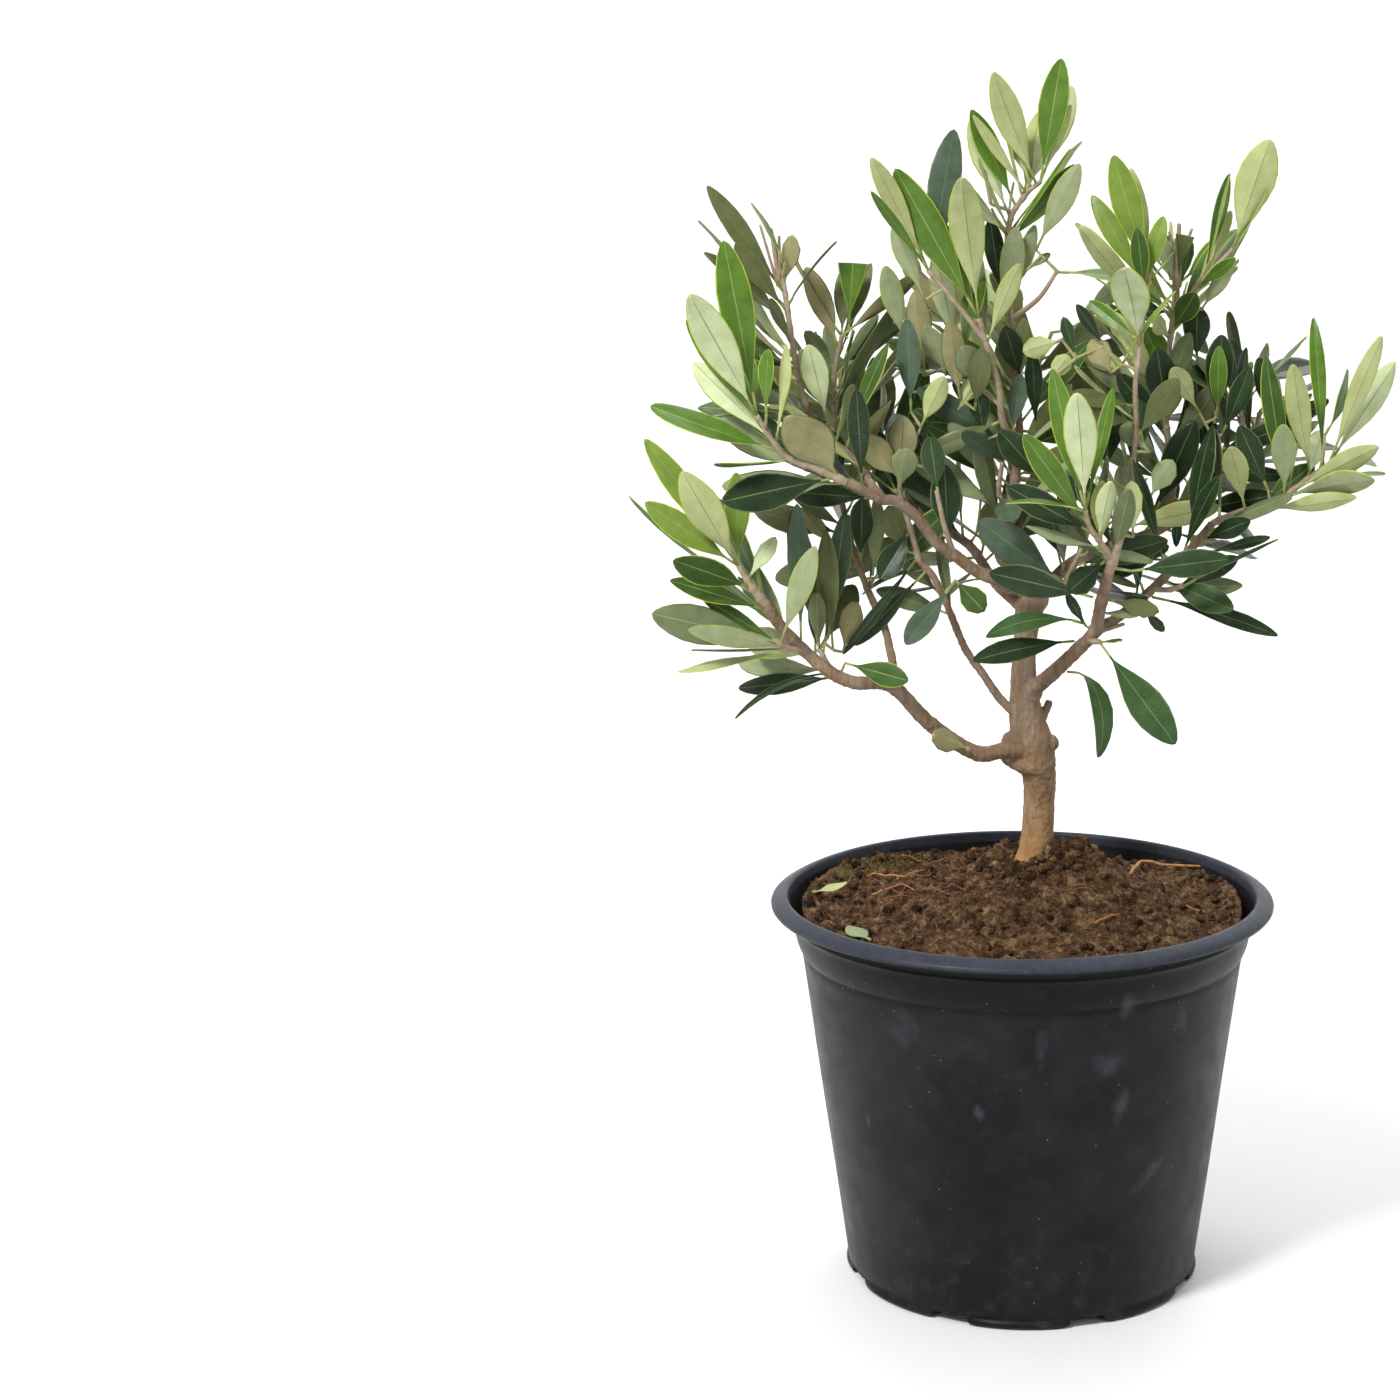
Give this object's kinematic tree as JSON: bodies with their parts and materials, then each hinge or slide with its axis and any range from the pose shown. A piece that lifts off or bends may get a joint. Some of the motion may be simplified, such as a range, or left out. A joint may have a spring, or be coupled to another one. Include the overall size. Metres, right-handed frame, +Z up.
{
  "type": "potted olive tree",
  "caption": "Young olive tree with an open crown of narrow grey-green leaves on a short crooked trunk, in a round black nursery pot filled with soil.",
  "frame": {"origin": "centre of the flat underside of the pot, on the surface that it stands on", "axes": "+Z up; +X to the viewer's right in the picture; -Y towards the viewer"},
  "size_m": [0.3241, 0.2318, 0.5315],
  "materials": {
    "pot": "satin black, dusty",
    "soil": "crumbly moist potting soil",
    "bark": "grey-brown bark, matt",
    "foliage": "leathery leaves, satin above and matt below"
  },
  "bodies": {
    "root": {"pot": "pot", "soil": "soil", "trunk": "bark", "low_left_bough": "bark", "low_left_fork": "bark", "slender_left_bough": "bark", "mid_left_bough": "bark", "left_upright_bough": "bark", "leader": "bark", "top_bough": "bark", "right_bough": "bark", "far_right_bough": "bark", "back_right_bough": "bark", "centre_right_bough": "bark", "upright_bough": "bark", "back_left_bough": "bark", "back_bough": "bark", "low_left_foliage": "foliage", "low_left_side_foliage": "foliage", "low_left_inner_foliage": "foliage", "low_left_root_sprig": "foliage", "inner_left_foliage": "foliage", "upper_left_inner_foliage": "foliage", "left_foliage": "foliage", "upper_left_foliage": "foliage", "top_foliage": "foliage", "upper_middle_foliage": "foliage", "front_foliage": "foliage", "right_foliage": "foliage", "lower_right_foliage": "foliage", "drooping_foliage": "foliage", "back_right_foliage": "foliage", "top_right_foliage": "foliage", "centre_right_foliage": "foliage", "centre_foliage": "foliage", "centre_left_foliage": "foliage", "leader_foliage": "foliage", "inner_right_foliage": "foliage", "back_left_foliage": "foliage", "back_foliage": "foliage"}
  },
  "joints": []
}
